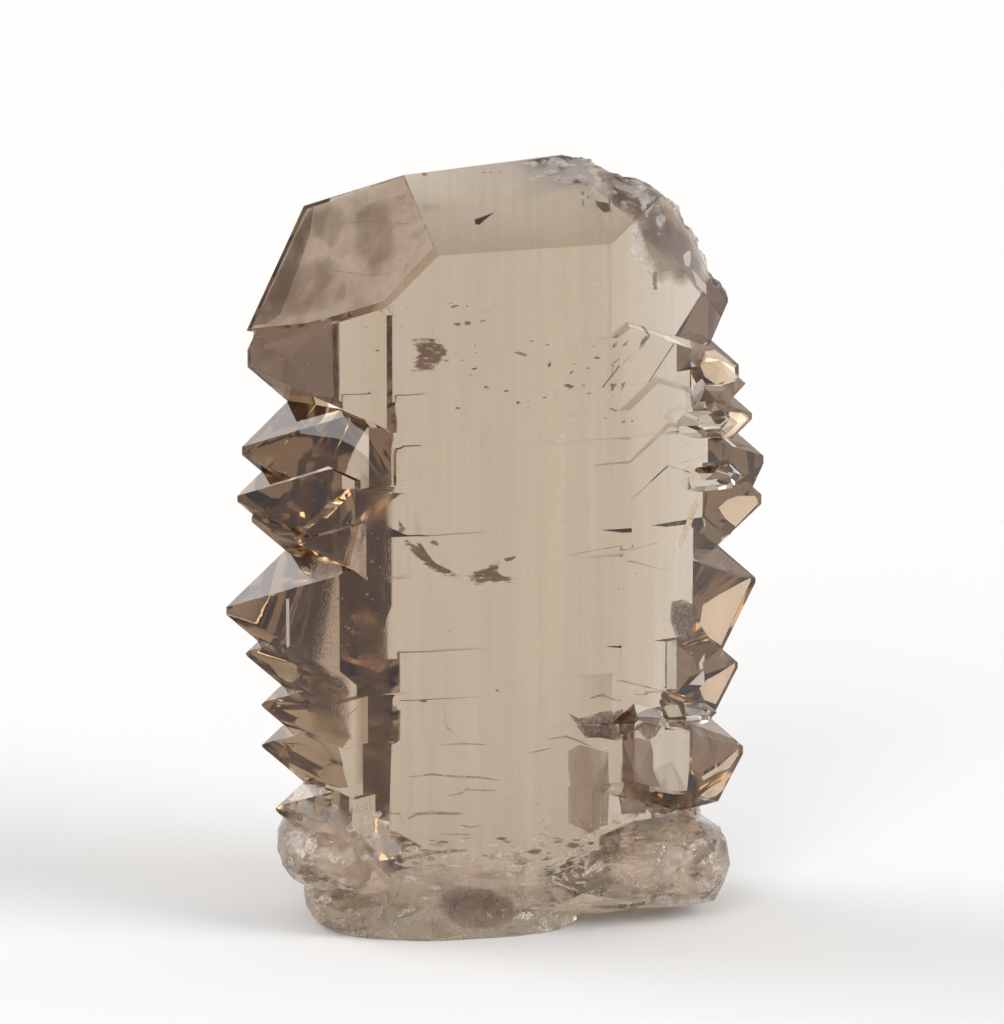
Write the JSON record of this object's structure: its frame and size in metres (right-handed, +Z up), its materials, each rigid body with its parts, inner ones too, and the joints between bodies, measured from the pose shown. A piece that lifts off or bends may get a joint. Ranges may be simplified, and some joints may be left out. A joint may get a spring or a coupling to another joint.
{
  "type": "smoky quartz gwindel",
  "caption": "See-through brown quartz group: a stack of flat crystals grown together, each turned a little, standing on its broken base.",
  "frame": {"origin": "middle of the box round the specimen, at the level it rests on", "axes": "+Z up through the stack of crystals, -Y towards the side shown in the picture, +X to the right as seen from there"},
  "size_m": [0.0538, 0.0328, 0.0767],
  "materials": {
    "smoky_quartz": "clear pale brown crystal with polished natural faces and a frosted broken base"
  },
  "bodies": {
    "root": {"smoky_quartz_gwindel": "smoky_quartz"}
  },
  "joints": []
}
